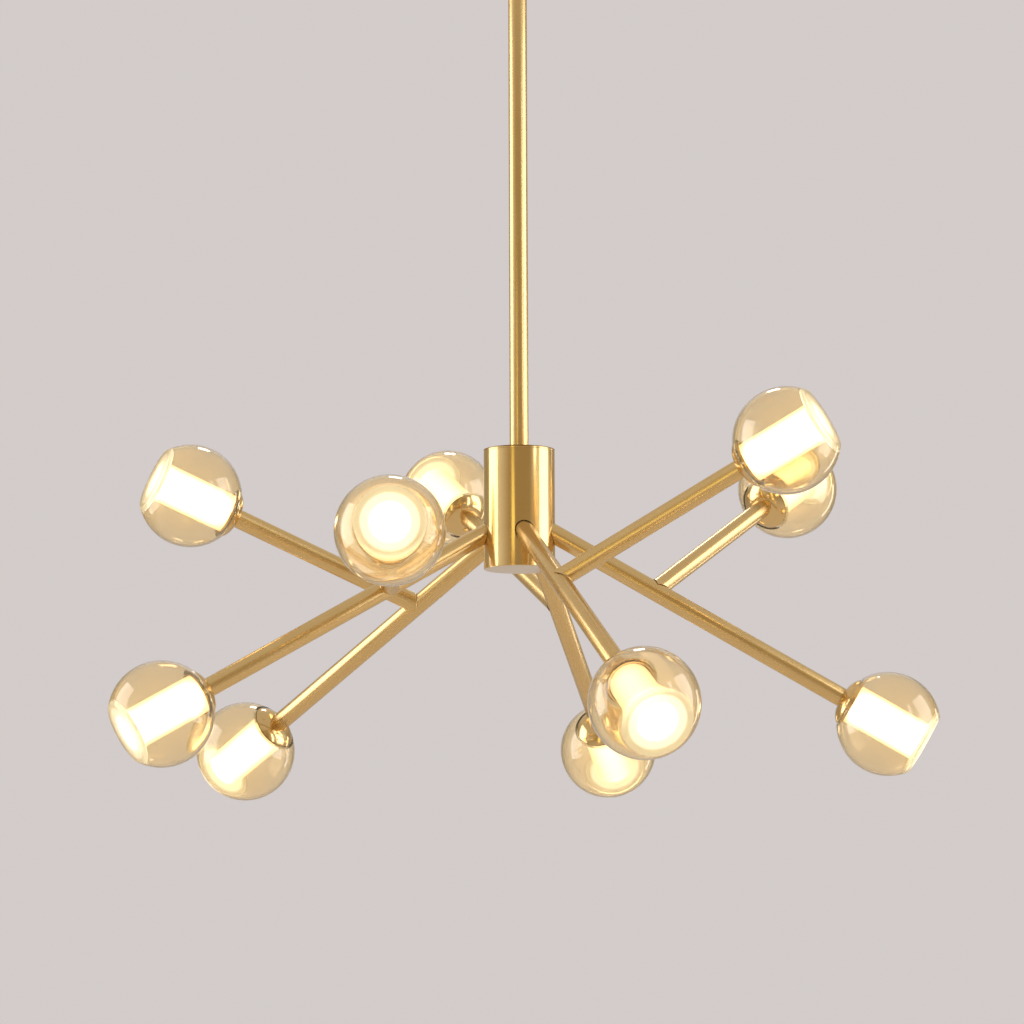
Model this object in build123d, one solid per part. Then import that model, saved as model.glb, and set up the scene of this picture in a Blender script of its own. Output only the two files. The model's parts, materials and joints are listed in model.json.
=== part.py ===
from build123d import *
import os
from math import radians, sin, sqrt

# Ten-light branching chandelier on a rigid stem, in millimetres and degrees.
# +Z is up. The origin is on the ceiling, at the centre of the mounting bar's
# upper face. X runs along the mounting bar, and -Y is the front.
#
# From top to bottom: a bar screwed to the ceiling carries a canopy and a
# hollow bolt; a swivel hangs on that bolt; the stem hangs in the swivel; the
# hub closes round a core at the stem's foot; five arm units turn in the core.
# A unit is one long arm that droops outwards and one branch that rises from
# it, and each of the two ends in a capped glass ball with a lamp inside.

# ---- Glass ball --------------------------------------------------------------
globe_diameter = 120.0
globe_wall = 2.5
face_diameter = 73.3          # across the flat front
face_thickness = 5.0          # the front is a thick ground disc
face_edge_round = 1.0

# ---- Brass cap that closes the ball ------------------------------------------
cap_rim_overlap = 1.95        # how far the rim stands past the edge of the glass
cap_lip = 1.6                 # thickness of the rim that shows beside the glass
cap_height = 10.2             # from the rim's front to the arm's end
cap_floor = 2.0
cap_skirt_length = 5.0        # the part inside the mouth
cap_skirt_wall = 1.5
cap_skirt_room = 1.65         # radial, round the frosted tube
cap_boss_diameter = 14.0
cap_crown_round = 26.0        # radius of the domed back
cap_crown_flat = 0.8          # flat ring round the arm's end

# ---- Lampholder, lamp and inner frosted tube ---------------------------------
holder_flange_thickness = 5.0
holder_tower_diameter = 22.0
holder_tower_height = 14.0
lamp_diameter = 16.0
lamp_length = 48.0
lamp_pin_diameter = 1.2
lamp_pin_spacing = 4.0
lamp_pin_length = 7.0
diffuser_diameter = 46.2
diffuser_wall = 2.0
diffuser_gap = 1.0            # between the tube's end and the flat front

# ---- Arm tubes ---------------------------------------------------------------
tube_diameter = 22.0
tube_wall = 1.2
arm_length = 490.0            # nearest point to the hub axis, to the ball centre
branch_distance = 180.0       # the same point, to the root of the branch
branch_length = 303.0         # root of the branch to the ball centre
branch_angle = 76.1           # between branch and arm
arm_offset = 7.0              # how far each arm's axis passes beside the hub axis
lead_diameter = 2.8
lead_gap = 0.4                # between the two flexes that share a spigot
lead_tail = 7.0               # how far they stand out of the spigot, inside the core
lead_hole_diameter = 7.0
lead_bend_radius = 8.0

# ---- How each unit stands: azimuth from +X, droop, turn about its own arm ----
unit_settings = {
    1: (-71.0, 31.3, 44.4),
    2: (-0.3, 30.1, 43.6),
    3: (75.7, 29.8, 38.9),
    4: (144.1, 31.4, 51.7),
    5: (200.7, 29.7, 76.3),
}

# ---- Hub ---------------------------------------------------------------------
hub_diameter = 83.0
hub_height = 140.5
hub_wall = 2.0
hub_floor = 2.5
lid_thickness = 3.0
lid_register_depth = 3.0      # the lid's step that drops inside the shell
lid_register_wall = 2.0
hub_edge_round = 0.6
arm_height = 64.0             # hub underside to the level where the arms meet
arm_hole_clearance = 0.5      # radial, where the arms pass through the shell
core_diameter = 54.0
core_below = 27.0             # core underside, below the level of the arms
core_above = 8.0              # core shoulder, above that level
core_flange_thickness = 4.0
core_cavity_diameter = 30.0
core_cavity_above = 4.0       # roof of the wiring cavity, above that level
core_wire_holes = (37.0, 110.0)   # azimuths of the holes up to the space under the lid
arm_pocket_clearance = 0.9    # radial, where the core makes room for the arms' tubes
spigot_diameter = 10.0
spigot_inner_end = 12.0       # distances along the arm's axis
nut_seat = 28.5
nut_thickness = 4.0
nut_across_flats = 14.0
plug_length = 6.0
terminal_length = 28.0
terminal_width = 18.0
terminal_height = 12.0

# ---- Stem --------------------------------------------------------------------
stem_diameter = 22.0
stem_wall = 1.2
stem_drop = 600.0             # swivel collar to hub lid
stem_joint_length = 14.0      # how deep the fittings reach into the tube
stem_lead_diameter = 6.0

# ---- Ceiling fitting ---------------------------------------------------------
canopy_diameter = 120.0
canopy_height = 26.0
canopy_wall = 1.2
canopy_edge_round = 4.0
bar_width = 22.0
bar_thickness = 2.5
bar_tab_height = 14.0
slot_spacing = 70.0
slot_width = 5.0
slot_length = 20.0
side_screw_diameter = 4.0
side_screw_head_diameter = 8.0
side_screw_head_height = 2.5
side_screw_depth = 8.0        # below the ceiling
nipple_diameter = 10.0
nipple_bore = 7.0
nipple_head_diameter = 17.0
nipple_head_height = 5.0
block_length = 14.0
block_width = 20.0
block_height = 14.0
block_offset = 15.0

# ---- Swivel ------------------------------------------------------------------
yoke_diameter = 28.0
yoke_neck_height = 12.0
ear_thickness = 4.0
ear_width = 16.0
pin_diameter = 6.0
pin_head_diameter = 9.0
pin_head_height = 1.5
tongue_thickness = 18.0
tongue_width = 18.0
collar_diameter = 25.0
collar_height = 10.0
side_wire_hole_diameter = 5.0   # across the collar, square to the pin
swing_room = 1.5              # between the turning parts of the swivel
swivel_azimuth = 126.0        # direction of the pin, in line with the centre of weight

# ---- Clearances --------------------------------------------------------------
turning_fit = 0.05            # radial, thread or shaft in its hole
loose_fit = 0.3               # faces and curves that only pass each other
joint_fit = 0.02              # radial, brazed or pressed seats

# ---- Sizes that follow from those --------------------------------------------
globe_radius = globe_diameter / 2
globe_inner_radius = globe_radius - globe_wall
face_distance = sqrt(globe_radius**2 - (face_diameter / 2) ** 2)
diffuser_radius = diffuser_diameter / 2
skirt_bore = diffuser_radius + cap_skirt_room
skirt_radius = skirt_bore + cap_skirt_wall
mouth_radius = skirt_radius + loose_fit
mouth_distance = sqrt(globe_inner_radius**2 - mouth_radius**2)
cap_radius = mouth_radius + cap_rim_overlap
rim_front = mouth_distance + loose_fit
cap_back = rim_front + cap_height
tube_radius = tube_diameter / 2
tube_bore = tube_radius - tube_wall
diffuser_front = face_distance - face_thickness - diffuser_gap
holder_seat = rim_front + cap_lip + loose_fit
holder_front = holder_seat - holder_flange_thickness
tower_front = holder_front - holder_tower_height
hub_radius = hub_diameter / 2
hub_bore = hub_radius - hub_wall
nut_end = nut_seat + nut_thickness
arm_start = nut_end + loose_fit
lead_side = (lead_diameter + lead_gap) / 2
canopy_radius = canopy_diameter / 2
canopy_bore = canopy_radius - canopy_wall
stem_radius = stem_diameter / 2
stem_bore = stem_radius - stem_wall
wire_way_radius = stem_lead_diameter / 2 + loose_fit
ear_inner = tongue_thickness / 2 + loose_fit
ear_outer = ear_inner + ear_thickness

# Levels, all below the ceiling.
neck_top = -canopy_height - loose_fit
neck_bottom = neck_top - yoke_neck_height
head_top = neck_bottom - loose_fit
head_bottom = head_top - nipple_head_height
pin_level = head_bottom - swing_room - tongue_width / 2
collar_top = pin_level - ear_width / 2 - swing_room
collar_bottom = collar_top - collar_height
collar_middle = collar_top - collar_height / 2
hub_top = collar_bottom - stem_drop
hub_bottom = hub_top - hub_height
arm_level = hub_bottom + arm_height
core_top = arm_level + core_above + core_flange_thickness


def rod(radius, low, high):
    """A round bar on Z between two levels."""
    return Pos(0, 0, low) * Cylinder(radius, high - low, align=(Align.CENTER, Align.CENTER, Align.MIN))


def pipe(radius, bore, low, high):
    """A round tube on Z between two levels."""
    return rod(radius, low, high) - rod(bore, low, high)


def block(size_x, size_y, low, high, x=0.0, y=0.0):
    """A rectangular bar on Z between two levels."""
    return Pos(x, y, low) * Box(size_x, size_y, high - low, align=(Align.CENTER, Align.CENTER, Align.MIN))


def group(*solids):
    """Several separate solids that belong to one node."""
    return Compound(children=[part for solid in solids for part in solid.solids()])


# ---- Lamp heads, built on Z round the ball's centre, with the arm below ------
def glass_ball():
    outside = Sphere(globe_radius) & rod(globe_radius, -mouth_distance, face_distance)
    rim = outside.edges().filter_by(GeomType.CIRCLE).sort_by(Axis.Z)[-1]
    outside = fillet(rim, face_edge_round)
    inside = Sphere(globe_inner_radius)
    return outside - (inside & rod(globe_radius, -globe_radius, face_distance - face_thickness))


def brass_cap():
    """A turned cap: rim, domed back, hollow front and a boss for the lampholder."""
    rim_back = rim_front + cap_lip
    crown_radius = tube_radius + cap_crown_flat
    profile = Polyline((0, -rim_front), (cap_radius, -rim_front), (cap_radius, -rim_back))
    crown = RadiusArc((cap_radius, -rim_back), (crown_radius, -cap_back), cap_crown_round)
    closing = Polyline((crown_radius, -cap_back), (0, -cap_back), (0, -rim_front))
    body = revolve(Plane.XZ * make_face(profile + crown + closing), Axis.Z)
    hollow_back = cap_back - cap_floor
    hollow = Polyline(
        (0, -rim_front), (skirt_bore, -rim_front), (skirt_bore, -rim_back),
        (crown_radius, -hollow_back), (0, -hollow_back), close=True,
    )
    body -= revolve(Plane.XZ * make_face(hollow), Axis.Z)
    body += pipe(skirt_radius, skirt_bore, -rim_front, -rim_front + cap_skirt_length)
    body += rod(cap_boss_diameter / 2, -hollow_back, -holder_seat)
    return body - rod(lead_hole_diameter / 2, -cap_back, -holder_seat)


def lampholder():
    flange = rod(diffuser_radius, -holder_seat, -holder_front)
    tower = rod(holder_tower_diameter / 2, -holder_front, -tower_front)
    holder = flange + tower
    for side in (-1, 1):
        socket = rod(lamp_pin_diameter / 2 + loose_fit, -tower_front - lamp_pin_length, -tower_front)
        holder -= Pos(side * lamp_pin_spacing / 2, 0, 0) * socket
    return holder


def lamp():
    """A capsule lamp: round-nosed envelope on two pins."""
    radius = lamp_diameter / 2
    base = -tower_front
    body = rod(radius, base, base + lamp_length - radius) + Pos(0, 0, base + lamp_length - radius) * Sphere(radius)
    for side in (-1, 1):
        pin = rod(lamp_pin_diameter / 2, base - lamp_pin_length + loose_fit, base)
        body += Pos(side * lamp_pin_spacing / 2, 0, 0) * pin
    return body


def diffuser():
    """A frosted tube, closed at the front, that stands on the lampholder's flange."""
    inner = diffuser_radius - diffuser_wall
    return rod(diffuser_radius, -holder_front, diffuser_front) - rod(inner, -holder_front, diffuser_front - diffuser_wall)


# ---- Arm units, built on Z outwards from the point nearest the hub axis ------
branch_root = Pos(0, 0, branch_distance) * Rot(0, branch_angle, 0)
low_head = Pos(0, 0, arm_length)
high_head = branch_root * Pos(0, 0, branch_length)


def main_arm():
    """Tube with a plug brazed into its foot; the plug's hollow spigot turns in the core."""
    tube = pipe(tube_radius, tube_bore, arm_start, arm_length - cap_back)
    plug = rod(tube_bore, arm_start, arm_start + plug_length)
    spigot = rod(spigot_diameter / 2, spigot_inner_end, arm_start)
    bore = rod(lead_hole_diameter / 2, spigot_inner_end, arm_start + plug_length)
    side_hole = branch_root * rod(lead_hole_diameter / 2, 0, tube_diameter)
    return tube + (plug + spigot - bore) - side_hole


def branch_arm():
    """Tube whose foot is cut to a saddle and brazed on the main arm."""
    tube = pipe(tube_radius, tube_bore, 0, branch_length - cap_back)
    return branch_root * tube - rod(tube_radius + joint_fit, 0, arm_length)


def arm_leads():
    """Two flexes side by side in the spigot; one turns off into the branch."""
    radius = lead_diameter / 2
    inner_end = spigot_inner_end - lead_tail
    straight = Pos(-lead_side, 0, 0) * rod(radius, inner_end, arm_length - holder_seat)
    along = lead_side / sin(radians(branch_angle))
    corner = branch_root * Pos(0, 0, along)
    far_end = branch_root * Pos(0, 0, branch_length - holder_seat)
    route = FilletPolyline(
        (lead_side, 0, inner_end), tuple(corner.position), tuple(far_end.position), radius=lead_bend_radius
    )
    turned = sweep(Plane(route @ 0, z_dir=route % 0) * Circle(radius), path=route)
    return group(straight, turned)


def unit_frame(azimuth, droop, turn):
    """Z runs outwards along the arm, X points to the side that carries the branch."""
    at_hub = Pos(0, 0, arm_level) * Rot(0, 0, azimuth) * Pos(0, -arm_offset, 0)
    return at_hub * Rot(0, 90 + droop, 0) * Rot(0, 0, 180 - turn)


unit_frames = {number: unit_frame(*setting) for number, setting in unit_settings.items()}


# ---- Hub ---------------------------------------------------------------------
def hub_core():
    """The turned block that carries everything: stem above, arms round its waist."""
    low = arm_level - core_below
    shoulder = arm_level + core_above
    core = rod(core_diameter / 2, low, shoulder)
    core += rod(hub_bore - joint_fit, shoulder, core_top)
    core += rod(stem_bore - joint_fit, core_top, core_top + stem_joint_length)
    core -= rod(core_cavity_diameter / 2, low, arm_level + core_cavity_above)
    core -= rod(wire_way_radius, arm_level, core_top + stem_joint_length)
    wire_hole_radius = lead_hole_diameter / 2
    for azimuth in core_wire_holes:
        place = Rot(0, 0, azimuth) * Pos(stem_radius + loose_fit + wire_hole_radius, 0, 0)
        core -= place * rod(wire_hole_radius, arm_level, core_top)
    for frame in unit_frames.values():
        core -= frame * rod(spigot_diameter / 2 + turning_fit, 0, nut_end)
        core -= frame * rod(tube_radius + arm_pocket_clearance, nut_seat, arm_length)
    return core


def arm_lock_nuts():
    """One hexagon nut on each spigot, tight against the core."""
    hexagon = RegularPolygon(nut_across_flats / 2, 6, major_radius=False)
    nut = Pos(0, 0, nut_seat) * extrude(hexagon, nut_thickness)
    nut -= rod(spigot_diameter / 2 + turning_fit, nut_seat, nut_end)
    return group(*[frame * nut for frame in unit_frames.values()])


def hub_shell():
    """A spun cup, open at the top, with a close hole for each arm."""
    rim = hub_top - lid_thickness
    cup = rod(hub_radius, hub_bottom, rim)
    cup = fillet(cup.edges().sort_by(Axis.Z)[0], hub_edge_round)
    cup -= rod(hub_bore, hub_bottom + hub_floor, rim)
    for frame in unit_frames.values():
        cup -= frame * rod(tube_radius + arm_hole_clearance, arm_start, arm_length)
    return cup


def hub_lid():
    """A disc that rests on the shell and can be lifted up the stem."""
    seat = hub_top - lid_thickness
    disc = rod(hub_radius, seat, hub_top)
    disc = fillet(disc.edges().sort_by(Axis.Z)[-1], hub_edge_round)
    register = hub_bore - loose_fit
    lid = disc + pipe(register, register - lid_register_wall, seat - lid_register_depth, seat)
    return lid - rod(stem_radius + loose_fit, seat, hub_top)


def hub_terminal():
    """The block that joins the stem's lead to the arms' leads, beside the stem's foot."""
    middle = stem_radius + loose_fit + terminal_width / 2
    return block(terminal_length, terminal_width, core_top, core_top + terminal_height, y=-middle)


# ---- Stem and swivel ---------------------------------------------------------
swivel_turn = Rot(0, 0, swivel_azimuth)


def across(radius, low, high, level):
    """A round bar along X, at a level on the swivel's axis."""
    return Pos(0, 0, level) * Rot(0, 90, 0) * rod(radius, low, high)


def stem_tube():
    return pipe(stem_radius, stem_bore, core_top, collar_bottom)


def stem_lead():
    return rod(stem_lead_diameter / 2, arm_level + core_cavity_above, collar_bottom)


def swivel_yoke():
    neck = rod(yoke_diameter / 2, neck_bottom, neck_top) - rod(nipple_diameter / 2 + turning_fit, neck_bottom, neck_top)
    yoke = neck
    for side in (-1, 1):
        middle = side * (ear_inner + ear_thickness / 2)
        ear = block(ear_thickness, ear_width, pin_level, neck_bottom, x=middle)
        end = Pos(middle - ear_thickness / 2, 0, 0) * across(ear_width / 2, 0, ear_thickness, pin_level)
        yoke += ear + end
    yoke -= across(pin_diameter / 2 + joint_fit, -yoke_diameter, yoke_diameter, pin_level)
    return swivel_turn * yoke


def swivel_pin():
    pin = across(pin_diameter / 2, -ear_outer, ear_outer, pin_level)
    for side in (-1, 1):
        start = min(side * ear_outer, side * (ear_outer + pin_head_height))
        pin += across(pin_head_diameter / 2, start, start + pin_head_height, pin_level)
    return swivel_turn * pin


def swivel_knuckle():
    """Tongue, collar and spigot in one; wires enter the collar at its sides."""
    half = tongue_thickness / 2
    tongue = block(tongue_thickness, tongue_width, collar_top, pin_level)
    tongue += across(tongue_width / 2, -half, half, pin_level)
    knuckle = tongue + rod(collar_diameter / 2, collar_bottom, collar_top)
    knuckle += rod(stem_bore - joint_fit, collar_bottom - stem_joint_length, collar_bottom)
    knuckle -= across(pin_diameter / 2 + turning_fit, -half, half, pin_level)
    knuckle -= rod(wire_way_radius, collar_bottom - stem_joint_length, collar_middle)
    side_hole = rod(side_wire_hole_diameter / 2, -collar_diameter, collar_diameter)
    knuckle -= Pos(0, 0, collar_middle) * Rot(90, 0, 0) * side_hole
    return swivel_turn * knuckle


# ---- Ceiling fitting ---------------------------------------------------------
bar_half = sqrt((canopy_bore - loose_fit) ** 2 - (bar_width / 2) ** 2)


def crossbar():
    bar = block(2 * bar_half, bar_width, -bar_thickness, 0)
    for side in (-1, 1):
        x = side * (bar_half - bar_thickness / 2)
        bar += block(bar_thickness, bar_width, -bar_tab_height, 0, x=x)
        slot = extrude(SlotOverall(slot_length, slot_width), bar_thickness)
        bar -= Pos(side * slot_spacing / 2, 0, -bar_thickness) * slot
        bar -= across(side_screw_diameter / 2 + turning_fit, x - bar_thickness, x + bar_thickness, -side_screw_depth)
    return bar - rod(nipple_diameter / 2 + turning_fit, -bar_thickness, 0)


def canopy():
    cup = rod(canopy_radius, -canopy_height, 0)
    cup = fillet(cup.edges().sort_by(Axis.Z)[0], canopy_edge_round)
    bowl = rod(canopy_bore, canopy_wall - canopy_height, 0)
    cup -= fillet(bowl.edges().sort_by(Axis.Z)[0], canopy_edge_round - canopy_wall)
    cup -= rod(nipple_diameter / 2 + loose_fit, -canopy_height, 0)
    return cup - across(side_screw_diameter / 2 + turning_fit, -canopy_diameter, canopy_diameter, -side_screw_depth)


def canopy_screws():
    inner_end = bar_half - bar_thickness - loose_fit
    shank = across(side_screw_diameter / 2, inner_end, canopy_radius, -side_screw_depth)
    screw = shank + across(
        side_screw_head_diameter / 2, canopy_radius, canopy_radius + side_screw_head_height, -side_screw_depth
    )
    return group(screw, Rot(0, 0, 180) * screw)


def canopy_nipple():
    bolt = rod(nipple_diameter / 2, head_top, -loose_fit) + rod(nipple_head_diameter / 2, head_bottom, head_top)
    return bolt - rod(nipple_bore / 2, head_bottom, 0)


def ceiling_terminal():
    top = -bar_thickness
    return block(block_length, block_width, top - block_height, top, x=block_offset)


# ---- Nodes -------------------------------------------------------------------
nodes = {
    "crossbar": crossbar(),
    "canopy": canopy(),
    "canopy_screws": canopy_screws(),
    "canopy_nipple": canopy_nipple(),
    "ceiling_terminal": ceiling_terminal(),
    "swivel_yoke": swivel_yoke(),
    "swivel_pin": swivel_pin(),
    "swivel_knuckle": swivel_knuckle(),
    "stem_tube": stem_tube(),
    "stem_lead": stem_lead(),
    "hub_core": hub_core(),
    "arm_lock_nuts": arm_lock_nuts(),
    "hub_shell": hub_shell(),
    "hub_lid": hub_lid(),
    "hub_terminal": hub_terminal(),
}
for number, frame in unit_frames.items():
    nodes[f"main_arm_{number}"] = frame * main_arm()
    nodes[f"branch_arm_{number}"] = frame * branch_arm()
    nodes[f"arm_leads_{number}"] = frame * arm_leads()
    for name, make in (
        ("shade_caps", brass_cap), ("lampholders", lampholder), ("lamps", lamp), ("diffusers", diffuser)
    ):
        nodes[f"{name}_{number}"] = group(frame * low_head * make(), frame * high_head * make())
    nodes[f"globe_{number}_low"] = frame * low_head * glass_ball()
    nodes[f"globe_{number}_high"] = frame * high_head * glass_ball()

os.makedirs("parts", exist_ok=True)
for name, shape in nodes.items():
    export_step(shape, f"parts/{name}.step")
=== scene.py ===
"""A ten-light branching chandelier in satin brass, with champagne glass balls lit from inside."""

import json
import math

import bmesh
import bpy
import numpy as np
from mathutils import Matrix, Vector


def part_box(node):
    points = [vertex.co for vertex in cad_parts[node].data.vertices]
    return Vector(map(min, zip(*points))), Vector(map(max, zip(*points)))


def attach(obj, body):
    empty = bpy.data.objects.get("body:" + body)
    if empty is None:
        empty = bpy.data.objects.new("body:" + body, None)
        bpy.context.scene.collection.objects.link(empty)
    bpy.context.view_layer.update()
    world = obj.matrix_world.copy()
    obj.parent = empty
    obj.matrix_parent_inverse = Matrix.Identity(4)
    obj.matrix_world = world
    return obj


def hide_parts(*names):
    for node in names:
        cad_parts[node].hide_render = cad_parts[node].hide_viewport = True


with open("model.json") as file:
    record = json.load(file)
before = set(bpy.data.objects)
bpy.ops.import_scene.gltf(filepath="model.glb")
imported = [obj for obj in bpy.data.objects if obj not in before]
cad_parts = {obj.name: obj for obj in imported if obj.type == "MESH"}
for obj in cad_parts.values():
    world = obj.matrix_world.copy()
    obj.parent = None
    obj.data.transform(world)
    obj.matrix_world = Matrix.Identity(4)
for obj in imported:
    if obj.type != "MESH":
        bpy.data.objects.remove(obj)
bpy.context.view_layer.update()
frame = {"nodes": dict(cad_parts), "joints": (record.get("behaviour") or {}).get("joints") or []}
nodes = frame["nodes"]
joints = {joint["name"]: joint for joint in frame["joints"]}


# ---- Camera -----------------------------------------------------------------------------
# It stands well back and a little below the hub, and looks up at the light through a
# long lens, so the arms spread round the hub without looming.
CAMERA_PLACE = (-0.0086, -4.2971, -1.3454)
CAMERA_PITCH = 7.933
CAMERA_ROLL = -0.20
CAMERA_LENS = 131.08

camera = bpy.data.objects.new("camera", bpy.data.cameras.new("camera"))
camera.data.lens = CAMERA_LENS
camera.data.sensor_fit = "HORIZONTAL"
camera.data.sensor_width = 36
camera.data.clip_end = 60
camera.matrix_world = (
    Matrix.Translation(CAMERA_PLACE)
    @ Matrix.Rotation(math.radians(90 + CAMERA_PITCH), 4, "X")
    @ Matrix.Rotation(math.radians(CAMERA_ROLL), 4, "Z")
)
bpy.context.scene.collection.objects.link(camera)
bpy.context.scene.camera = camera


# ---- Stage ------------------------------------------------------------------------------
# A pale room with its floor far below the light. The wall behind is a light warm grey,
# the side walls are lighter, and the camera's side and the corners are sand-coloured.
class Value:
    """A socket of a shader. An operator on it adds the Math node that it stands for."""

    def __init__(self, finish, socket):
        self.finish, self.socket = finish, socket

    def math(self, operation, *others):
        return self.finish.add("ShaderNodeMath", {"operation": operation}, self, *others)

    def __add__(self, other):
        return self.math("ADD", other)

    def __sub__(self, other):
        return self.math("SUBTRACT", other)

    def __mul__(self, other):
        return self.math("MULTIPLY", other)

    def __truediv__(self, other):
        return self.math("DIVIDE", other)

    def __pow__(self, other):
        return self.math("POWER", other)

    def __rsub__(self, other):
        return self.finish.add("ShaderNodeMath", {"operation": "SUBTRACT"}, other, self)

    __radd__ = __add__
    __rmul__ = __mul__

    def other_output(self, name):
        return Value(self.finish, self.socket.node.outputs[name])


class Finish:
    """A material, or the room's world, built up node by node."""

    def __init__(self, name, world=None):
        self.material = world or bpy.data.materials.new(name)
        self.material.use_nodes = True
        self.nodes = self.material.node_tree.nodes
        self.links = self.material.node_tree.links
        self.nodes.clear()
        self.output = self.nodes.new("ShaderNodeOutputWorld" if world else "ShaderNodeOutputMaterial")

    def put(self, socket, value):
        if isinstance(value, Value):
            self.links.new(value.socket, socket)
        else:
            socket.default_value = value

    def add(self, kind, settings, *values, out=0, **named):
        """Any node: its settings first, then the values or links of its sockets, by order or by name."""
        node = self.nodes.new(kind)
        for key, value in settings.items():
            if key == "stops":
                ramp = node.color_ramp
                while len(ramp.elements) < len(value):
                    ramp.elements.new(1.0)
                for element, (place, colour) in zip(ramp.elements, value):
                    element.position, element.color = place, colour
            else:
                setattr(node, key, value)
        for socket, value in zip(node.inputs, values):
            self.put(socket, value)
        for key, value in named.items():
            self.put(node.inputs[key.replace("_", " ")], value)
        return Value(self, node.outputs[out])

    def scaled(self, place, scale):
        return self.add("ShaderNodeVectorMath", {"operation": "MULTIPLY"}, place, scale)

    def noise(self, place, detail=2.0, roughness=0.5):
        return self.add("ShaderNodeTexNoise", {}, Vector=place, Scale=1.0, Detail=detail, Roughness=roughness)

    def between(self, value, low, high, start=0.0, end=1.0):
        """Rises smoothly from start to end as the value goes from low to high."""
        return self.add("ShaderNodeMapRange", {"interpolation_type": "SMOOTHSTEP"}, value, low, high, start, end)

    def mix(self, factor, first, second):
        """A colour between two, with the Mix node's colour sockets 6 and 7."""
        node = self.nodes.new("ShaderNodeMix")
        node.data_type = "RGBA"
        self.put(node.inputs[0], factor)
        self.put(node.inputs[6], first)
        self.put(node.inputs[7], second)
        return Value(self, node.outputs[2])

    def surface(self, shader):
        self.put(self.output.inputs["Surface"], shader)
        return self.material


BACKDROP = (0.650, 0.603, 0.590, 1)
BEHIND = (0.40, 0.33, 0.22, 1)
SIDE_WALL = (0.84, 0.80, 0.70, 1)
FRONT_CORNER = (0.60, 0.50, 0.36, 1)
FRONT_SIDE = (0.42, 0.32, 0.18, 1)
ABOVE = (0.64, 0.57, 0.46, 1)
BELOW = (0.50, 0.43, 0.33, 1)
CEILING_TONE = (0.28, 0.60)
GROUND_TONE = (-0.20, -0.45)
FLOOR_LEVEL = -2.4
FLOOR_HALF = 12.0
FLOOR_COLOUR = (0.72, 0.67, 0.62, 1)

floor_mesh = bpy.data.meshes.new("floor")
floor_corners = [(x * FLOOR_HALF, y * FLOOR_HALF, FLOOR_LEVEL) for x, y in ((-1, -1), (1, -1), (1, 1), (-1, 1))]
floor_mesh.from_pydata(floor_corners, [], [(0, 1, 2, 3)])
finish = Finish("floor_paint")
floor_mesh.materials.append(finish.surface(finish.add("ShaderNodeBsdfDiffuse", {}, FLOOR_COLOUR, 0.5)))
floor = bpy.data.objects.new("floor", floor_mesh)
bpy.context.scene.collection.objects.link(floor)

world = bpy.data.worlds.new("room")
bpy.context.scene.world = world
finish = Finish("room", world)
direction = finish.add("ShaderNodeTexCoord", {}, out=0)
across = finish.add("ShaderNodeSeparateXYZ", {}, direction)
away = across.other_output("Y")
upwards = across.other_output("Z")
# The turn round the room is 0.5 towards the camera, 0.25 to the left, 0.75 to the right and 0 or 1 behind.
turn = across.math("ARCTAN2", away * -1.0) / (2 * math.pi) + 0.5
walls = finish.add("ShaderNodeValToRGB", {"stops": (
    (0.026, BACKDROP), (0.055, BEHIND), (0.16, BEHIND), (0.20, SIDE_WALL), (0.32, SIDE_WALL), (0.38, FRONT_CORNER),
    (0.42, FRONT_SIDE), (0.60, FRONT_SIDE), (0.64, SIDE_WALL), (0.80, SIDE_WALL), (0.84, BEHIND), (0.945, BEHIND),
    (0.974, BACKDROP),
)}, turn)
walls = finish.mix(finish.between(upwards, *CEILING_TONE), walls, ABOVE)
walls = finish.mix(finish.between(upwards, *GROUND_TONE), walls, BELOW)
finish.surface(finish.add("ShaderNodeBackground", {}, walls, 1.0))


# ---- Studio lamps -----------------------------------------------------------------------
# Tall soft boxes stand left and right of the light, and strips in front of it and at the
# back on the right. A small box above and behind puts the glints on the glass.
WARM_WHITE = (1.0, 0.95, 0.87)
STRIP_YELLOW = (1.0, 0.85, 0.28)
LAMP_MIDDLE = (0, 0, -0.9)


def soft_box(name, azimuth, elevation, distance, width, height, radiance, colour):
    """A rectangular lamp that faces the light from a direction: 0 is the camera's side, 90 the right."""
    lamp = bpy.data.lights.new(name, "AREA")
    lamp.shape = "RECTANGLE"
    lamp.size, lamp.size_y = width, height
    lamp.energy = radiance * width * height * math.pi
    lamp.color = colour
    a, e = math.radians(azimuth), math.radians(elevation)
    way = Vector((math.sin(a) * math.cos(e), -math.cos(a) * math.cos(e), math.sin(e)))
    holder = bpy.data.objects.new(name, lamp)
    holder.location = Vector(LAMP_MIDDLE) + way * distance
    holder.rotation_euler = way.to_track_quat("Z", "Y").to_euler()
    bpy.context.scene.collection.objects.link(holder)


soft_box("left_box", -94, 10, 3.0, 2.0, 3.0, 2.5, WARM_WHITE)
soft_box("right_box", 87, 10, 3.0, 1.9, 3.0, 2.5, WARM_WHITE)
soft_box("right_strip", 52, 8, 3.5, 0.45, 3.0, 2.8, WARM_WHITE)
soft_box("right_rim", 130, -4, 3.5, 0.30, 2.0, 3.0, WARM_WHITE)
soft_box("front_strip", -21, -5, 4.0, 0.55, 2.4, 1.5, STRIP_YELLOW)
soft_box("top_box", 180, 48, 3.5, 0.5, 0.4, 8.0, WARM_WHITE)


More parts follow.
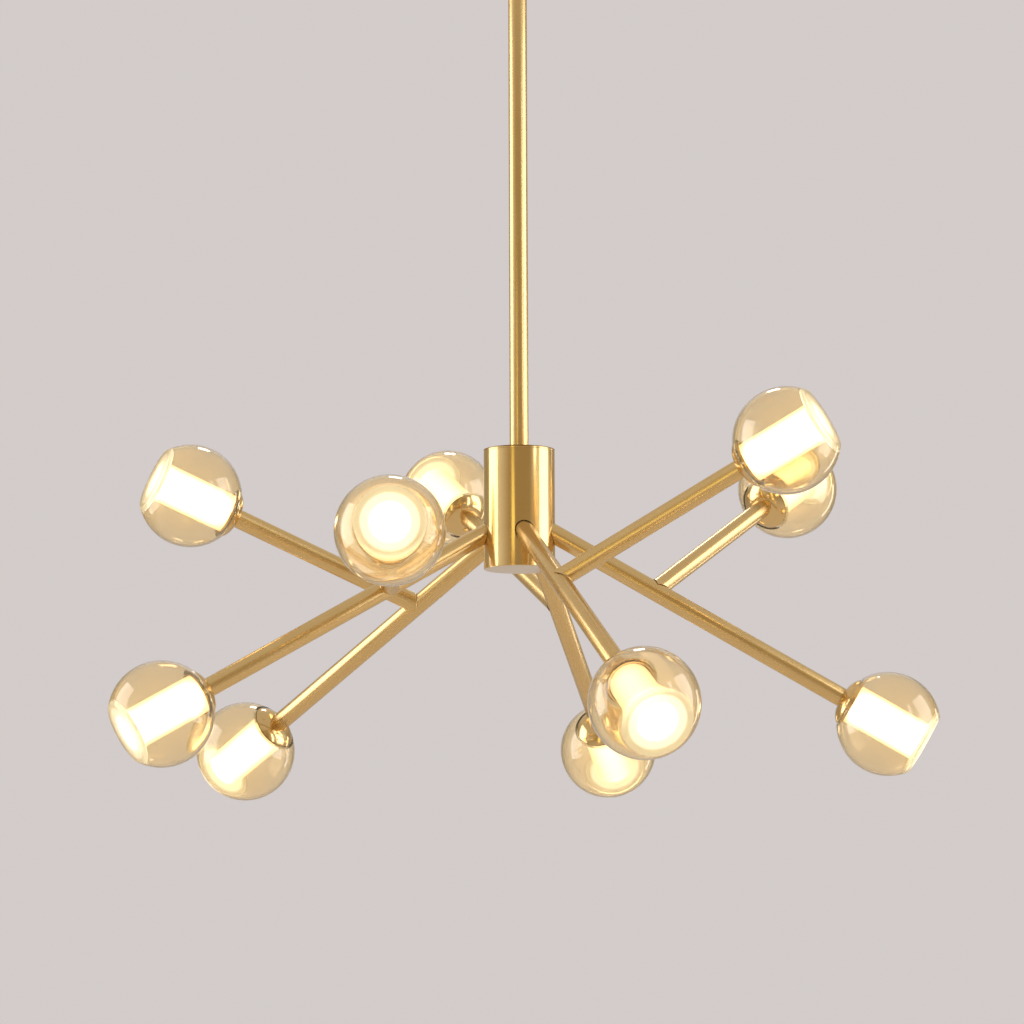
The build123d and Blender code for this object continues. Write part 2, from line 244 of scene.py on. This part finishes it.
# ---- Ceiling fitting --------------------------------------------------------------------
# A zinc-plated bar is screwed to the ceiling, and a spun brass canopy hides it with
# the terminal block. Two knurled screws through the canopy's side bite in the bar.
CANOPY_RADIUS = 60.0
CANOPY_WALL = 1.2
CANOPY_HOLE = 5.3
CANOPY_EDGE = 4.0
SCREW_HEAD_HEIGHT = 2.5
SCREW_HEAD_RADIUS = 4.0
SCREW_SHANK_RADIUS = 2.0
SCREW_KNURLS = 18
SCREW_KNURL_DEPTH = 0.25
SCREW_EDGE = 0.6
SCREW_GRIP = 3.0
BRASS = (0.780, 0.580, 0.300, 1)
BRASS_DEEP = (0.680, 0.470, 0.200, 1)
CLOUD_GRAIN = (25, 25, 25)
SPECK_GRAIN = (700, 700, 700)
CREASE = 35
ZINC = (0.56, 0.57, 0.58, 1)
ZINC_DULL = (0.46, 0.46, 0.45, 1)
PLASTIC = (0.80, 0.80, 0.77, 1)
PLASTIC_DULL = (0.73, 0.73, 0.70, 1)


def place_of(finish, scale, own):
    """The pattern's place, in metres: the piece's own, along its own axis, or the light's."""
    if own:
        return finish.scaled(finish.add("ShaderNodeAttribute", {"attribute_name": "own"}, out=1), scale)
    return finish.scaled(finish.add("ShaderNodeTexCoord", {}, out=3), scale)


def brass(name, grain, roughness, scratch_depth, own=True, coat=0.35):
    """Lacquered brass. Fine scratches are a noise stretched by the grain's three scales. A soft
    cloud of handling marks, 40 mm across, shifts colour and gloss a little."""
    finish = Finish(name)
    scratch = finish.noise(place_of(finish, grain, own), 3.0, 0.6)
    cloud = finish.noise(place_of(finish, CLOUD_GRAIN, own))
    speck = finish.between(finish.noise(place_of(finish, SPECK_GRAIN, own), 1.0), 0.70, 0.80)
    tone = finish.mix(scratch * 0.6 + cloud * 0.6 - 0.1, BRASS_DEEP, BRASS)
    height = scratch + speck * 0.5
    return finish.surface(finish.add(
        "ShaderNodeBsdfPrincipled", {},
        Base_Color=tone, Metallic=1.0, Roughness=scratch * 0.10 + cloud * 0.08 + roughness,
        Coat_Weight=coat, Coat_Roughness=0.10,
        Normal=finish.add("ShaderNodeBump", {}, Height=height, Strength=0.25, Distance=scratch_depth),
    ))


def coated(name, light, dark, grain, roughness, metallic=0.0, coat=0.0):
    """A plated, moulded or glazed skin with a fine even mottle, so many grains to the metre."""
    finish = Finish(name)
    mottle = finish.noise(place_of(finish, (grain, grain, grain), False), 3.0, 0.6)
    return finish.surface(finish.add(
        "ShaderNodeBsdfPrincipled", {},
        Base_Color=finish.mix(finish.between(mottle, 0.3, 0.7), dark, light), Metallic=metallic,
        Roughness=mottle * 0.16 + roughness, Coat_Weight=coat,
        Normal=finish.add("ShaderNodeBump", {}, Height=mottle, Strength=0.3, Distance=0.00004),
    ))


def rounded(corners, radius, steps=4):
    """A closed profile with eased corners: each becomes a quadratic curve between two points that
    lie the radius away from it, or 0.45 of the shorter side where that is less."""
    corners = np.asarray(corners, float)
    before, after = np.roll(corners, 1, 0) - corners, np.roll(corners, -1, 0) - corners
    before_length, after_length = (np.linalg.norm(side, axis=1)[:, None] for side in (before, after))
    reach = np.minimum(radius, 0.45 * np.minimum(before_length, after_length))
    start, end = corners + before / before_length * reach, corners + after / after_length * reach
    t = np.linspace(0, 1, steps)[None, :, None]
    curve = (1 - t) ** 2 * start[:, None] + 2 * t * (1 - t) * corners[:, None] + t**2 * end[:, None]
    return curve.reshape(-1, 2)


def set_on(origin, axis, side=(1, 0, 0)):
    """A matrix whose Z lies along the axis and whose X is as near to the side as it can be."""
    z = np.asarray(axis, float) / np.linalg.norm(axis)
    x = np.asarray(side, float) - z * np.dot(side, z)
    x /= np.linalg.norm(x)
    place = np.eye(4)
    place[:3, 0], place[:3, 1], place[:3, 2], place[:3, 3] = x, np.cross(z, x), z, origin
    return place


def piece(name, points, faces, place, materials, crease=CREASE, zones=None):
    """A mesh from millimetre points in the piece's own frame, which it keeps as the attribute own.
    Points that meet are joined and the faces are turned outwards. Zones give each face's material."""
    points = np.asarray(points, float).reshape(-1, 3) / 1000
    mesh = bpy.data.meshes.new(name)
    mesh.from_pydata((points @ place[:3, :3].T + place[:3, 3]).tolist(), [], faces.reshape(-1, 4).tolist())
    own = mesh.attributes.new("own", "FLOAT_VECTOR", "POINT")
    own.data.foreach_set("vector", points.astype(np.float32).ravel())
    for material in materials:
        mesh.materials.append(material)
    if zones is not None:
        mesh.polygons.foreach_set("material_index", np.asarray(zones, np.int32).ravel())
    work = bmesh.new()
    work.from_mesh(mesh)
    bmesh.ops.remove_doubles(work, verts=work.verts, dist=1e-7)
    bmesh.ops.dissolve_degenerate(work, edges=work.edges, dist=1e-7)
    bmesh.ops.recalc_face_normals(work, faces=work.faces)
    work.to_mesh(mesh)
    work.free()
    mesh.shade_smooth()
    mesh.set_sharp_from_angle(angle=math.radians(crease))
    made = bpy.data.objects.new(name, mesh)
    bpy.context.scene.collection.objects.link(made)
    return made


def grid_faces(rows, columns):
    """Quads of a grid of points that closes on itself across both its rows and its columns."""
    i, j = np.meshgrid(np.arange(rows), np.arange(columns), indexing="ij")
    down, beside = (i + 1) % rows, (j + 1) % columns
    return np.stack([i * columns + j, i * columns + beside, down * columns + beside, down * columns + j], -1)


def turned(name, profile, place, *materials, around=96, crease=CREASE, zones=None):
    """A closed profile of (radius, height) points in millimetres, carried once round Z: each point
    becomes a ring of (radius cos a, radius sin a, height). Zones give each profile step's material."""
    profile = np.asarray(profile, float)
    angles = np.linspace(0, 2 * np.pi, around, endpoint=False)
    radius, height = profile[:, None, 0], profile[:, None, 1]
    rings = np.stack([radius * np.cos(angles), radius * np.sin(angles), height + 0 * angles], -1)
    if zones is not None:
        zones = np.repeat(zones, around)
    return piece(name, rings, grid_faces(len(profile), around), place, materials, crease, zones)


def settle(made, body, slot, *replaced):
    """Says which body the piece moves with and which solids it stands for. The slot, the name of its finish, is not
    used.
    """
    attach(made, body)
    if replaced:
        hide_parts(*replaced)


def dress(material, *names):
    """Gives solids that keep their own shape their finish."""
    for name in names:
        nodes[name].data.materials.clear()
        nodes[name].data.materials.append(material)


spun_brass = brass("spun_brass", (60, 60, 1600), 0.12, 0.00003)
plain_brass = brass("plain_brass", (300, 300, 300), 0.15, 0.00002, own=False)
zinc_plate = coated("zinc_plate", ZINC, ZINC_DULL, 140, 0.32, metallic=1.0)
terminal_plastic = coated("terminal_plastic", PLASTIC, PLASTIC_DULL, 260, 0.40)

canopy_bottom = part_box("canopy")[0].z * 1000
canopy_dish = turned("canopy_dish", rounded([
    (CANOPY_RADIUS, 0), (CANOPY_RADIUS, canopy_bottom), (CANOPY_HOLE, canopy_bottom),
    (CANOPY_HOLE, canopy_bottom + CANOPY_WALL),
    (CANOPY_RADIUS - CANOPY_WALL, canopy_bottom + CANOPY_WALL), (CANOPY_RADIUS - CANOPY_WALL, 0),
], CANOPY_EDGE, 8), set_on((0, 0, 0), (0, 0, 1)), spun_brass, around=144)
settle(canopy_dish, "ceiling_fitting", "satin_brass", "canopy")
dress(zinc_plate, "crossbar", "canopy_nipple")
dress(terminal_plastic, "ceiling_terminal")


def knurled_screw(name, side, face, shank_end, level):
    """A turned screw. Its head's edge sinks by the knurl's depth times the square of the cosine of
    the angle times the number of knurls."""
    profile = rounded([
        (0, shank_end - face), (SCREW_SHANK_RADIUS, shank_end - face), (SCREW_SHANK_RADIUS, -SCREW_HEAD_HEIGHT),
        (SCREW_HEAD_RADIUS, -SCREW_HEAD_HEIGHT), (SCREW_HEAD_RADIUS, 0), (0, 0),
    ], SCREW_EDGE)
    angles = np.linspace(0, 2 * np.pi, 8 * SCREW_KNURLS, endpoint=False)
    radius, height = profile[:, None, 0], profile[:, None, 1]
    on_edge = radius > SCREW_HEAD_RADIUS - SCREW_EDGE / 2
    radius = radius - on_edge * SCREW_KNURL_DEPTH * np.cos(SCREW_KNURLS * angles) ** 2
    points = np.stack([radius * np.cos(angles), radius * np.sin(angles), height + 0 * angles], -1)
    place = set_on((side * face / 1000, 0, level / 1000), (side, 0, 0), (0, 0, 1))
    return piece(name, points, grid_faces(len(profile), len(angles)), place, [plain_brass])


screw_low, screw_high = (np.array(corner) * 1000 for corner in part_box("canopy_screws"))
screw_level = (screw_low[2] + screw_high[2]) / 2
screw_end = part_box("crossbar")[1].x * 1000 - SCREW_GRIP
for name, side in (("canopy_screw_left", -1), ("canopy_screw_right", 1)):
    screw = knurled_screw(name, side, screw_high[0], screw_end, screw_level)
    settle(screw, "ceiling_fitting", "satin_brass", "canopy_screws")


# ---- Swivel -----------------------------------------------------------------------------
# The yoke turns on the hollow bolt and the knuckle tilts on a pin between the yoke's
# ears, so that the stem hangs plumb. All three are machined from brass, edges eased.
EASED_EDGE = 0.0003
EASED_FROM = 40


def eased(name, source, body):
    """A merged copy of a solid whose edges are eased by a small bevel."""
    mesh = nodes[source].data.copy()
    mesh.name = name
    work = bmesh.new()
    work.from_mesh(mesh)
    bmesh.ops.remove_doubles(work, verts=work.verts, dist=1e-6)
    bmesh.ops.dissolve_limit(work, angle_limit=math.radians(1), verts=work.verts, edges=work.edges)
    work.to_mesh(mesh)
    work.free()
    mesh.materials.clear()
    mesh.materials.append(plain_brass)
    mesh.shade_smooth()
    mesh.set_sharp_from_angle(angle=math.radians(CREASE))
    made = bpy.data.objects.new(name, mesh)
    bpy.context.scene.collection.objects.link(made)
    bevel = made.modifiers.new("eased", "BEVEL")
    bevel.width, bevel.segments, bevel.limit_method = EASED_EDGE, 2, "ANGLE"
    bevel.angle_limit = math.radians(EASED_FROM)
    settle(made, body, "satin_brass", source)


eased("yoke", "swivel_yoke", "swivel")
eased("pin", "swivel_pin", "swivel")
eased("knuckle", "swivel_knuckle", "stem_and_hub")


# ---- Stem -------------------------------------------------------------------------------
# One drawn tube, brushed along its length, with the supply lead inside it.
STEM_RADIUS = 11.0
STEM_BORE = 9.8
TUBE_EDGE = 0.3
FLEX = (0.045, 0.042, 0.038, 1)
FLEX_DULL = (0.030, 0.028, 0.026, 1)

brushed_brass = brass("brushed_brass", (1200, 1200, 7), 0.18, 0.00003)
flex_sheath = coated("flex_sheath", FLEX, FLEX_DULL, 220, 0.45)
stem_low, stem_high = (corner.z * 1000 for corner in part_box("stem_tube"))
stem_length = stem_high - stem_low
stem = turned("stem", rounded([
    (STEM_BORE, 0), (STEM_RADIUS, 0), (STEM_RADIUS, stem_length), (STEM_BORE, stem_length),
], TUBE_EDGE, 3), set_on((0, 0, stem_low / 1000), (0, 0, 1)), brushed_brass, around=72)
settle(stem, "stem_and_hub", "satin_brass", "stem_tube")
dress(flex_sheath, "stem_lead")


# ---- Hub --------------------------------------------------------------------------------
# A spun cup is pushed up over a turned core that holds the stem and the five arms, and
# a loose lid closes it. Its wall is pierced where the arms pass through.
HUB_RADIUS = 41.5
HUB_BORE = 39.5
LID_THICKNESS = 3.0
LID_HOLE = 11.3
LID_STEP_DEPTH = 3.0
LID_STEP_WALL = 2.0
LID_FIT = 0.3
LID_EDGE = 0.6
LID_LINE = 1.1
# Painted shade: a dark band of colour round the lid's top outer edge stands in for the shade at its rim.
PAINTED_RIM_SHADE = (0.30, 0.20, 0.075, 1)
PAINTED_RIM_SHADE_DARK = (0.20, 0.13, 0.050, 1)

hub_brass = brass("hub_brass", (60, 60, 1600), 0.07, 0.00002, own=False)
lid_rim_painted_shade = coated("lid_rim_painted_shade", PAINTED_RIM_SHADE, PAINTED_RIM_SHADE_DARK, 300, 0.30, metallic=1.0)
dress(hub_brass, "hub_shell", "hub_core")
dress(zinc_plate, "arm_lock_nuts")
dress(terminal_plastic, "hub_terminal")
lid_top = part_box("hub_lid")[1].z
step_outside = HUB_BORE - LID_FIT
step_bottom = -LID_THICKNESS - LID_STEP_DEPTH
lid_profile = rounded([
    (LID_HOLE, 0), (HUB_RADIUS, 0), (HUB_RADIUS, -LID_LINE), (HUB_RADIUS, -LID_THICKNESS),
    (step_outside, -LID_THICKNESS), (step_outside, step_bottom), (step_outside - LID_STEP_WALL, step_bottom),
    (step_outside - LID_STEP_WALL, -LID_THICKNESS), (LID_HOLE, -LID_THICKNESS),
], LID_EDGE)
# The faces at the lid's top outer edge take the painted shade.
lid_painted_shade_zones = [int(radius > HUB_RADIUS - 2 * LID_EDGE and height > -LID_LINE - 0.1) for radius, height in lid_profile]
lid = turned(
    "lid", lid_profile, set_on((0, 0, lid_top), (0, 0, 1)), hub_brass, lid_rim_painted_shade, around=144, zones=lid_painted_shade_zones
)
settle(lid, "hub_cover", "satin_brass", "hub_lid")


# ---- Arms -------------------------------------------------------------------------------
# Each unit is a long brass tube with a shorter one brazed on its side. The long tube's
# foot ends in a hollow spigot that turns in the hub's core and is held by a nut.
TUBE_RADIUS = 11.0
TUBE_BORE = 9.8
TUBE_START = 32.8
TUBE_PLUG = 6.0
SPIGOT_RADIUS = 5.0
SPIGOT_BORE = 3.5
SPIGOT_START = 12.0
JOINT_TO_FOOT = 28.5
ARM_LENGTH = 490.0
BRANCH_AT = 180.0
BRANCH_LENGTH = 303.0
CAP_BACK = 61.5
BRAZE_BEAD = ((0.9, 0.0), (0.45, 0.35), (0.12, 0.9), (0.0, 1.8))


def branch_tube(name, place, lean, around=96):
    """A tube whose foot follows the long arm's side. Round the tube at angle a the foot stands at
    (sqrt(R^2 - y^2) + x cos b) / sin b, where x and y are the wall's place in and beside the plane of
    both tubes, R is the long tube's radius and b their angle. A bead of braze swells the foot."""
    angles = np.linspace(0, 2 * np.pi, around, endpoint=False)
    end = BRANCH_LENGTH - CAP_BACK

    def foot(radius):
        x, y = radius * np.cos(angles), radius * np.sin(angles)
        return (np.sqrt(TUBE_RADIUS**2 - y**2) + x * math.cos(lean)) / math.sin(lean)

    rings = [(TUBE_RADIUS + swell, foot(TUBE_RADIUS) + lift) for swell, lift in BRAZE_BEAD]
    rings += [(radius, 0 * angles + height) for radius, height in (
        (TUBE_RADIUS, end - TUBE_EDGE), (TUBE_RADIUS - TUBE_EDGE, end), (TUBE_BORE, end)
    )]
    rings += [(TUBE_BORE, foot(TUBE_BORE))]
    points = [np.stack([radius * np.cos(angles), radius * np.sin(angles), height], -1) for radius, height in rings]
    return piece(name, points, grid_faces(len(rings), around), place, [brushed_brass])


heads = []
for number in range(1, 6):
    outward = np.array(joints[f"arm_turn_{number}"]["axis"])
    rising = np.array(joints[f"ball_off_{number}_high"]["axis"])
    foot_of_arm = np.array(joints[f"arm_turn_{number}"]["pos_m"]) - outward * JOINT_TO_FOOT / 1000
    root = foot_of_arm + outward * BRANCH_AT / 1000
    long_arm = turned(f"long_arm_{number}", rounded([
        (SPIGOT_BORE, SPIGOT_START), (SPIGOT_RADIUS, SPIGOT_START), (SPIGOT_RADIUS, TUBE_START),
        (TUBE_RADIUS, TUBE_START), (TUBE_RADIUS, ARM_LENGTH - CAP_BACK), (TUBE_BORE, ARM_LENGTH - CAP_BACK),
        (TUBE_BORE, TUBE_START + TUBE_PLUG), (SPIGOT_BORE, TUBE_START + TUBE_PLUG),
    ], TUBE_EDGE, 3), set_on(foot_of_arm, outward, rising), brushed_brass, around=72)
    settle(long_arm, f"arm_unit_{number}", "satin_brass", f"main_arm_{number}")
    lean = math.acos(float(np.dot(outward, rising)))
    branch = branch_tube(f"branch_{number}", set_on(root, rising, outward), lean)
    settle(branch, f"arm_unit_{number}", "satin_brass", f"branch_arm_{number}")
    dress(flex_sheath, f"arm_leads_{number}")
    heads.append((number, "low", foot_of_arm + outward * ARM_LENGTH / 1000, outward))
    heads.append((number, "high", root + rising * BRANCH_LENGTH / 1000, rising))


# ---- Shade caps -------------------------------------------------------------------------
# A turned and polished brass cap closes each ball's mouth. Its domed back meets the
# arm, its thin lip shows beside the glass, and its skirt stands inside the mouth.
CAP_RADIUS = 28.5
CAP_LIP = 1.6
CAP_FRONT = 51.3
CAP_LIP_EDGE = 0.3
CROWN_RADIUS = 11.8
CROWN_CURVE = 26.0
CAP_FLOOR = 2.0
SKIRT_RADIUS = 26.25
SKIRT_WALL = 1.5
SKIRT_LENGTH = 5.0
BOSS_RADIUS = 7.0
BOSS_BORE = 3.5
HOLDER_SEAT = 53.2


def arc(start, end, radius, steps):
    """Points of a circle's arc that bulges to the left of the way from start to end. Its centre lies
    on the chord's normal at the distance sqrt(radius^2 - half chord^2)."""
    start, end = np.asarray(start, float), np.asarray(end, float)
    half = np.linalg.norm(end - start) / 2
    normal = np.array([start[1] - end[1], end[0] - start[0]]) / (2 * half)
    centre = (start + end) / 2 - normal * math.sqrt(radius**2 - half**2)
    first, last = (math.atan2(*(point - centre)[::-1]) for point in (start, end))
    sweep = (last - first + math.pi) % (2 * math.pi) - math.pi
    angles = first + sweep * np.linspace(0, 1, steps)
    return centre + radius * np.stack([np.cos(angles), np.sin(angles)], 1)


cap_brass = brass("cap_brass", (50, 50, 900), 0.04, 0.00003, coat=0.6)
lip_back = -CAP_FRONT - CAP_LIP
skirt_bore = SKIRT_RADIUS - SKIRT_WALL
cap_profile = np.concatenate([
    [(BOSS_BORE, -CAP_BACK), (CROWN_RADIUS - CAP_LIP_EDGE, -CAP_BACK)],
    arc((CAP_RADIUS - CAP_LIP_EDGE, lip_back), (CROWN_RADIUS, -CAP_BACK + 0.1), CROWN_CURVE, 20)[::-1],
    [
        (CAP_RADIUS, lip_back + CAP_LIP_EDGE), (CAP_RADIUS, -CAP_FRONT - CAP_LIP_EDGE),
        (CAP_RADIUS - CAP_LIP_EDGE, -CAP_FRONT), (SKIRT_RADIUS, -CAP_FRONT),
        (SKIRT_RADIUS, -CAP_FRONT + SKIRT_LENGTH), (skirt_bore, -CAP_FRONT + SKIRT_LENGTH), (skirt_bore, lip_back),
        (CROWN_RADIUS, -CAP_BACK + CAP_FLOOR), (BOSS_RADIUS, -CAP_BACK + CAP_FLOOR),
        (BOSS_RADIUS, -HOLDER_SEAT), (BOSS_BORE, -HOLDER_SEAT),
    ],
])
for number, level, centre, outward in heads:
    cap = turned(f"cap_{number}_{level}", cap_profile, set_on(centre, outward, (0, 0, 1)), cap_brass)
    settle(cap, f"arm_unit_{number}", "satin_brass", f"shade_caps_{number}")


# ---- Lampholders and lamps --------------------------------------------------------------
# A glazed ceramic holder is screwed inside each cap, and a small capsule lamp with a
# milky envelope stands in it on two pins.
CERAMIC = (0.86, 0.84, 0.79, 1)
CERAMIC_DULL = (0.79, 0.76, 0.70, 1)
ENVELOPE = (0.93, 0.90, 0.82, 1)
ENVELOPE_DULL = (0.87, 0.83, 0.74, 1)

glazed_ceramic = coated("glazed_ceramic", CERAMIC, CERAMIC_DULL, 60, 0.14, coat=0.4)
lamp_envelope = coated("lamp_envelope", ENVELOPE, ENVELOPE_DULL, 90, 0.22)
for number in range(1, 6):
    dress(glazed_ceramic, f"lampholders_{number}")
    dress(lamp_envelope, f"lamps_{number}")


# ---- Frosted tubes ----------------------------------------------------------------------
# A frosted glass tube, closed in front, stands over each lamp. It glows white where it
# faces the eye, and amber at its edges and at its foot, where less light gets out.
FROSTED_RADIUS = 23.1
FROSTED_WALL = 2.0
FROSTED_FOOT = -48.2
FROSTED_FRONT = 41.5
FROSTED_EDGE = 2.0
GLOW = (1.0, 0.86, 0.62, 1)
GLOW_EDGE = (0.145, 0.105, 0.058, 1)
GLOW_STRENGTH = 6.5
GLOW_FALL = 2.3
FRONT_GLOW_EDGE = (0.0232, 0.0170)
FOOT_GLOW_EDGE = (-0.049, -0.030)
SIDE_BELOW = (0.0405, 0.0385)
FROST = (0.94, 0.90, 0.80, 1)
FROST_DULL = (0.88, 0.82, 0.70, 1)

finish = Finish("lit_frosted_glass")
own_place = finish.add("ShaderNodeAttribute", {"attribute_name": "own"}, out=1)
height = finish.add("ShaderNodeSeparateXYZ", {}, own_place, out=2)
frost = finish.noise(finish.scaled(own_place, (900, 900, 900)), 2.0)
facing = 1.0 - finish.add("ShaderNodeLayerWeight", {}, 0.5, out=1)
off_axis = finish.add("ShaderNodeVectorMath", {"operation": "LENGTH"}, finish.scaled(own_place, (1, 1, 0)), out=1)
on_side = finish.between(height, *SIDE_BELOW)
front_glow = finish.between(off_axis, *FRONT_GLOW_EDGE, 0.10, 1.0).math("MAXIMUM", on_side)
foot_glow = finish.between(height, *FOOT_GLOW_EDGE, 0.35, 1.0)
lit = facing**GLOW_FALL * foot_glow * front_glow * (frost * 0.10 + 0.95)
emitted = finish.mix(lit, GLOW_EDGE, GLOW)
lit_glass = finish.surface(finish.add(
    "ShaderNodeBsdfPrincipled", {},
    Base_Color=finish.mix(frost, FROST_DULL, FROST), Roughness=frost * 0.2 + 0.35,
    Emission_Color=emitted, Emission_Strength=GLOW_STRENGTH,
    Normal=finish.add("ShaderNodeBump", {}, Height=frost, Strength=0.3, Distance=0.00004),
))
frosted_profile = rounded([
    (0, FROSTED_FRONT), (FROSTED_RADIUS, FROSTED_FRONT), (FROSTED_RADIUS, FROSTED_FOOT),
    (FROSTED_RADIUS - FROSTED_WALL, FROSTED_FOOT),
    (FROSTED_RADIUS - FROSTED_WALL, FROSTED_FRONT - FROSTED_WALL), (0, FROSTED_FRONT - FROSTED_WALL),
], FROSTED_EDGE, 6)
for number, level, centre, outward in heads:
    tube = turned(f"frosted_tube_{number}_{level}", frosted_profile, set_on(centre, outward, (0, 0, 1)), lit_glass)
    settle(tube, f"arm_unit_{number}", "frosted_glass", f"diffusers_{number}")


# ---- Glass balls ------------------------------------------------------------------------
# Blown glass with a champagne lining inside, cut flat in front, where a thick disc with
# a ground back closes it, and ground at the mouth, which stands in the cap.
BALL_RADIUS = 60.0
BALL_WALL = 2.5
FACE = 47.5
FACE_THICKNESS = 5.0
FACE_EDGE = 0.8
MOUTH = 51.0
GLASS_BEND = 1.48
GLASS_CLEAR = (0.985, 0.940, 0.850, 1)
GLASS_RIM = (0.55, 0.36, 0.16, 1)
LINING = (0.930, 0.790, 0.540, 1)
LINING_HAZE = (1.0, 0.81, 0.48, 1)
GROUND_BACK = (1.0, 0.98, 0.84, 1)
GROUND_EDGE = (0.06, 0.06, 0.02, 1)
GROUND_GLOW_EDGE = (0.0335, 0.0295)
BALL_FRONT = (0.012, 0.042)
ALONG_WALL = (0.62, 1.0)


def clear_glass():
    """The outside: clean glass, deeper in colour where the eye looks along the wall."""
    finish = Finish("champagne_glass")
    ripple = finish.noise(place_of(finish, (16, 16, 16), True), 1.0)
    along_wall = finish.between(finish.add("ShaderNodeLayerWeight", {}, 0.5, out=1), *ALONG_WALL)
    return finish.surface(finish.add(
        "ShaderNodeBsdfPrincipled", {},
        Base_Color=finish.mix(along_wall, GLASS_CLEAR, GLASS_RIM), Roughness=0.0, IOR=GLASS_BEND,
        Transmission_Weight=1.0,
        Normal=finish.add("ShaderNodeBump", {}, Height=ripple, Strength=0.2, Distance=0.0006),
    ))


def hazy_glass(name, tint, roughness, haze, least, facing_share, front_share, glow=0.0):
    """Glass with a thin scattering skin, which shows the light that falls on it from either side. The
    skin is the least share, plus a share times the fifth power of the cosine of the angle between
    the eye and the wall, plus a share that grows towards the ball's front. The glow is the lamp's
    light that runs inside the glass and leaves through the ground part."""
    finish = Finish(name)
    own_place = place_of(finish, (1, 1, 1), True)
    mottle = finish.noise(finish.scaled(own_place, (120, 120, 120)), 3.0, 0.6)
    facing = 1.0 - finish.add("ShaderNodeLayerWeight", {}, 0.5, out=1)
    front = finish.between(finish.add("ShaderNodeSeparateXYZ", {}, own_place, out=2), *BALL_FRONT)
    off_axis = finish.add("ShaderNodeVectorMath", {"operation": "LENGTH"}, finish.scaled(own_place, (1, 1, 0)), out=1)
    glowing = finish.mix(finish.between(off_axis, *GROUND_GLOW_EDGE), GROUND_EDGE, haze)
    share = facing**5.0 * facing_share + front * front_share + mottle * 0.02 + least
    glass = finish.add(
        "ShaderNodeBsdfPrincipled", {}, Base_Color=tint, Roughness=roughness, IOR=GLASS_BEND,
        Transmission_Weight=1.0, Emission_Color=glowing, Emission_Strength=glow,
    )
    skin = finish.add(
        "ShaderNodeMixShader", {}, 0.5,
        finish.add("ShaderNodeBsdfDiffuse", {}, haze), finish.add("ShaderNodeBsdfTranslucent", {}, haze),
    )
    return finish.surface(finish.add("ShaderNodeMixShader", {}, share, glass, skin))


def meridian(radius, low, high, steps):
    """Points of a sphere's outline from a low to a high level, evenly spaced by latitude."""
    latitude = np.linspace(math.asin(low / radius), math.asin(high / radius), steps)
    return radius * np.stack([np.cos(latitude), np.sin(latitude)], 1)


ball_materials = (
    clear_glass(),
    hazy_glass("champagne_lining", LINING, 0.02, LINING_HAZE, 0.0, 0.17, 0.10),
    hazy_glass("ground_glass", GROUND_BACK, 0.45, GROUND_BACK, 0.70, 0.0, 0.0, 1.6),
)
inner_radius = BALL_RADIUS - BALL_WALL
face_back = FACE - FACE_THICKNESS
outside = meridian(BALL_RADIUS, -MOUTH, FACE - 0.5 * FACE_EDGE, 48)
face_radius = math.sqrt(BALL_RADIUS**2 - FACE**2)
back_radius = math.sqrt(inner_radius**2 - face_back**2)
face_line = [(face_radius - 0.1, FACE - 0.12), (face_radius - FACE_EDGE, FACE), (0, FACE), (0, face_back)]
back_line = [(back_radius - 1.6, face_back), (back_radius - 0.4, face_back - 0.3)]
lining = meridian(inner_radius, -MOUTH, face_back - 1.2, 44)[::-1]
ball_profile = np.concatenate([outside, face_line, back_line, lining])
ball_zones = [0] * (len(outside) + 3) + [2] * 2 + [1] * len(lining) + [0]
for number, level, centre, outward in heads:
    ball = turned(
        f"ball_{number}_{level}", ball_profile, set_on(centre, outward, (0, 0, 1)), *ball_materials,
        crease=30, zones=ball_zones,
    )
    settle(ball, f"ball_{number}_{level}", "tinted_glass", f"globe_{number}_{level}")

bpy.context.scene.view_settings.view_transform = "Standard"
